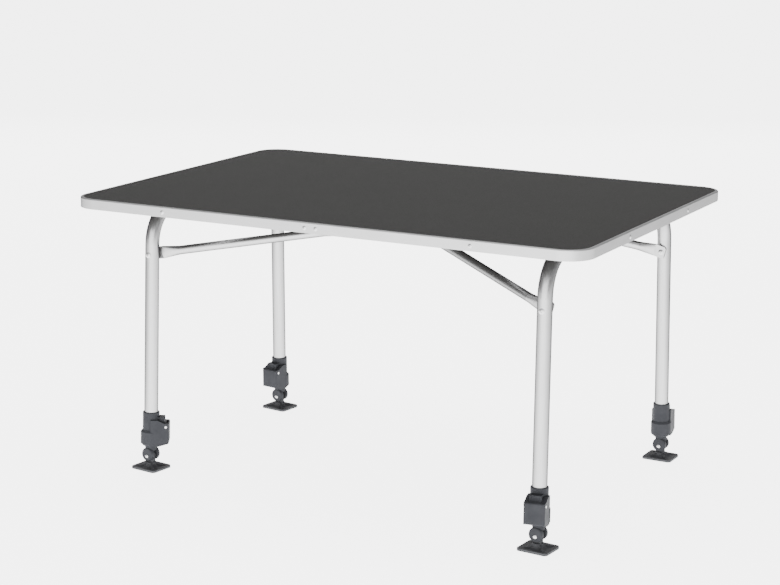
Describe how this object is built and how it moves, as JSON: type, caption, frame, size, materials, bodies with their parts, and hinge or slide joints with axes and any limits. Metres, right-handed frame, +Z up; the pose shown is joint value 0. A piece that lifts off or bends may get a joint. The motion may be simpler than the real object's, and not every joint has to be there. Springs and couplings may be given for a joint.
{
  "type": "folding camping table",
  "caption": "Rectangular folding table with a framed flat top, bent-tube leg frames that fold under it on struts, clamped telescopic legs and tilting swivel feet.",
  "frame": {"origin": "centre of the footprint, on the floor", "axes": "+X along the table's length, +Y from the front long side to the rear, +Z up"},
  "size_m": [1.153, 0.803, 0.607],
  "materials": {
    "panel": "matt fine-grained laminate",
    "edge_aluminium": "satin anodised",
    "tube_aluminium": "satin anodised",
    "rail_aluminium": "mill finish",
    "plate_steel": "zinc plated",
    "dark_plastic": "moulded, slightly satin",
    "lever_plastic": "moulded, slightly satin",
    "bright_steel": "bright zinc plated"
  },
  "bodies": {
    "tabletop": {"top_panel": "panel", "edge_profile": "edge_aluminium", "edge_rivets": "bright_steel", "cross_rail_left": "rail_aluminium", "cross_rail_centre": "rail_aluminium", "cross_rail_right": "rail_aluminium", "saddle_screws": "bright_steel", "guide_plate_rivets": "bright_steel", "guide_plate_front": "plate_steel", "guide_plate_rear": "plate_steel", "bearer_front_left": "rail_aluminium", "bearer_rear_left": "rail_aluminium", "bearer_front_right": "rail_aluminium", "bearer_rear_right": "rail_aluminium", "saddle_front_left": "dark_plastic", "saddle_rear_left": "dark_plastic", "saddle_front_right": "dark_plastic", "saddle_rear_right": "dark_plastic"},
    "leg_frame_left": {"leg_frame_left": "tube_aluminium", "clamp_housing_front_left": "dark_plastic", "clamp_housing_rear_left": "dark_plastic", "brace_rivets_left": "bright_steel", "clamp_pins_left": "bright_steel"},
    "braces_left": {"strut_front_left": "tube_aluminium", "strut_rear_left": "tube_aluminium", "brace_pins_left": "bright_steel"},
    "leg_frame_right": {"leg_frame_right": "tube_aluminium", "clamp_housing_front_right": "dark_plastic", "clamp_housing_rear_right": "dark_plastic", "brace_rivets_right": "bright_steel", "clamp_pins_right": "bright_steel"},
    "braces_right": {"strut_front_right": "tube_aluminium", "strut_rear_right": "tube_aluminium", "brace_pins_right": "bright_steel"},
    "lever_front_left": {"clamp_lever_front_left": "lever_plastic"},
    "lower_leg_front_left": {"inner_tube_front_left": "tube_aluminium"},
    "fork_front_left": {"fork_front_left": "dark_plastic", "fork_pin_front_left": "bright_steel"},
    "foot_front_left": {"foot_plate_front_left": "dark_plastic"},
    "lever_rear_left": {"clamp_lever_rear_left": "lever_plastic"},
    "lower_leg_rear_left": {"inner_tube_rear_left": "tube_aluminium"},
    "fork_rear_left": {"fork_rear_left": "dark_plastic", "fork_pin_rear_left": "bright_steel"},
    "foot_rear_left": {"foot_plate_rear_left": "dark_plastic"},
    "lever_front_right": {"clamp_lever_front_right": "lever_plastic"},
    "lower_leg_front_right": {"inner_tube_front_right": "tube_aluminium"},
    "fork_front_right": {"fork_front_right": "dark_plastic", "fork_pin_front_right": "bright_steel"},
    "foot_front_right": {"foot_plate_front_right": "dark_plastic"},
    "lever_rear_right": {"clamp_lever_rear_right": "lever_plastic"},
    "lower_leg_rear_right": {"inner_tube_rear_right": "tube_aluminium"},
    "fork_rear_right": {"fork_rear_right": "dark_plastic", "fork_pin_rear_right": "bright_steel"},
    "foot_rear_right": {"foot_plate_rear_right": "dark_plastic"}
  },
  "joints": [
    {"name": "fold_left", "type": "hinge", "parent": "tabletop", "child": "leg_frame_left", "pos_m": [-0.468, 0, 0.572], "axis": [0, -1, 0], "range_deg": [0, 84]},
    {"name": "brace_left", "type": "hinge", "parent": "leg_frame_left", "child": "braces_left", "pos_m": [-0.46891, 0, 0.472], "axis": [0, 1, 0], "range_deg": [0, 92.2]},
    {"name": "fold_right", "type": "hinge", "parent": "tabletop", "child": "leg_frame_right", "pos_m": [0.468, 0, 0.572], "axis": [0, 1, 0], "range_deg": [0, 84]},
    {"name": "brace_right", "type": "hinge", "parent": "leg_frame_right", "child": "braces_right", "pos_m": [0.46891, 0, 0.472], "axis": [0, -1, 0], "range_deg": [0, 97.4]},
    {"name": "clamp_front_left", "type": "hinge", "parent": "leg_frame_left", "child": "lever_front_left", "pos_m": [-0.44374, -0.25397, 0.09618], "axis": [-0.5002, 0.8656, -0.0224], "range_deg": [0, 20], "stiffness_Nm_per_rad": 0.4, "springref_deg": -11.46},
    {"name": "height_front_left", "type": "slide", "parent": "leg_frame_left", "child": "lower_leg_front_left", "axis": [-0.0091, -0.0311, -0.9995], "range_m": [0, 0.17]},
    {"name": "swivel_front_left", "type": "hinge", "parent": "lower_leg_front_left", "child": "fork_front_left", "pos_m": [-0.47293, -0.27259, 0.0285], "axis": [0.0091, 0.0311, 0.9995], "continuous": true},
    {"name": "tilt_front_left", "type": "hinge", "parent": "fork_front_left", "child": "foot_front_left", "pos_m": [-0.47293, -0.27259, 0.0285], "axis": [0.1392, 0.9903, 0], "range_deg": [-15, 15]},
    {"name": "clamp_rear_left", "type": "hinge", "parent": "leg_frame_left", "child": "lever_rear_left", "pos_m": [-0.47634, 0.23772, 0.09597], "axis": [0.9925, -0.1218, -0.0128], "range_deg": [0, 20], "stiffness_Nm_per_rad": 0.4, "springref_deg": -11.46},
    {"name": "height_rear_left", "type": "slide", "parent": "leg_frame_left", "child": "lower_leg_rear_left", "axis": [-0.0091, 0.0311, -0.9995], "range_m": [0, 0.17]},
    {"name": "swivel_rear_left", "type": "hinge", "parent": "lower_leg_rear_left", "child": "fork_rear_left", "pos_m": [-0.47293, 0.27259, 0.0285], "axis": [0.0091, -0.0311, 0.9995], "continuous": true},
    {"name": "tilt_rear_left", "type": "hinge", "parent": "fork_rear_left", "child": "foot_rear_left", "pos_m": [-0.47293, 0.27259, 0.0285], "axis": [0.1392, 0.9903, 0], "range_deg": [-15, 15]},
    {"name": "clamp_front_right", "type": "hinge", "parent": "leg_frame_right", "child": "lever_front_right", "pos_m": [0.47746, -0.36874, 0.09801], "axis": [0.9877, 0.1564, 0.0041], "range_deg": [0, 20], "stiffness_Nm_per_rad": 0.4, "springref_deg": -11.46},
    {"name": "height_front_right", "type": "slide", "parent": "leg_frame_right", "child": "lower_leg_front_right", "axis": [0.0091, -0.0311, -0.9995], "range_m": [0, 0.17]},
    {"name": "swivel_front_right", "type": "hinge", "parent": "lower_leg_front_right", "child": "fork_front_right", "pos_m": [0.47293, -0.33829, 0.0285], "axis": [-0.0091, 0.0311, 0.9995], "continuous": true},
    {"name": "tilt_front_right", "type": "hinge", "parent": "fork_front_right", "child": "foot_front_right", "pos_m": [0.47293, -0.33829, 0.0285], "axis": [0.0872, 0.9962, 0], "range_deg": [-15, 15]},
    {"name": "clamp_rear_right", "type": "hinge", "parent": "leg_frame_right", "child": "lever_rear_right", "pos_m": [0.46943, 0.36902, 0.09794], "axis": [-0.9961, -0.0871, -0.0117], "range_deg": [0, 20], "stiffness_Nm_per_rad": 0.4, "springref_deg": -11.46},
    {"name": "height_rear_right", "type": "slide", "parent": "leg_frame_right", "child": "lower_leg_rear_right", "axis": [0.0091, 0.0311, -0.9995], "range_m": [0, 0.17]},
    {"name": "swivel_rear_right", "type": "hinge", "parent": "lower_leg_rear_right", "child": "fork_rear_right", "pos_m": [0.47293, 0.33829, 0.0285], "axis": [-0.0091, -0.0311, 0.9995], "continuous": true},
    {"name": "tilt_rear_right", "type": "hinge", "parent": "fork_rear_right", "child": "foot_rear_right", "pos_m": [0.47293, 0.33829, 0.0285], "axis": [0.0175, 0.9998, 0], "range_deg": [-15, 15]}
  ],
  "couplings": [
    {"joint": "brace_left", "follows": "fold_left", "ratio": 1.0948},
    {"joint": "brace_right", "follows": "fold_right", "ratio": 1.1575}
  ]
}
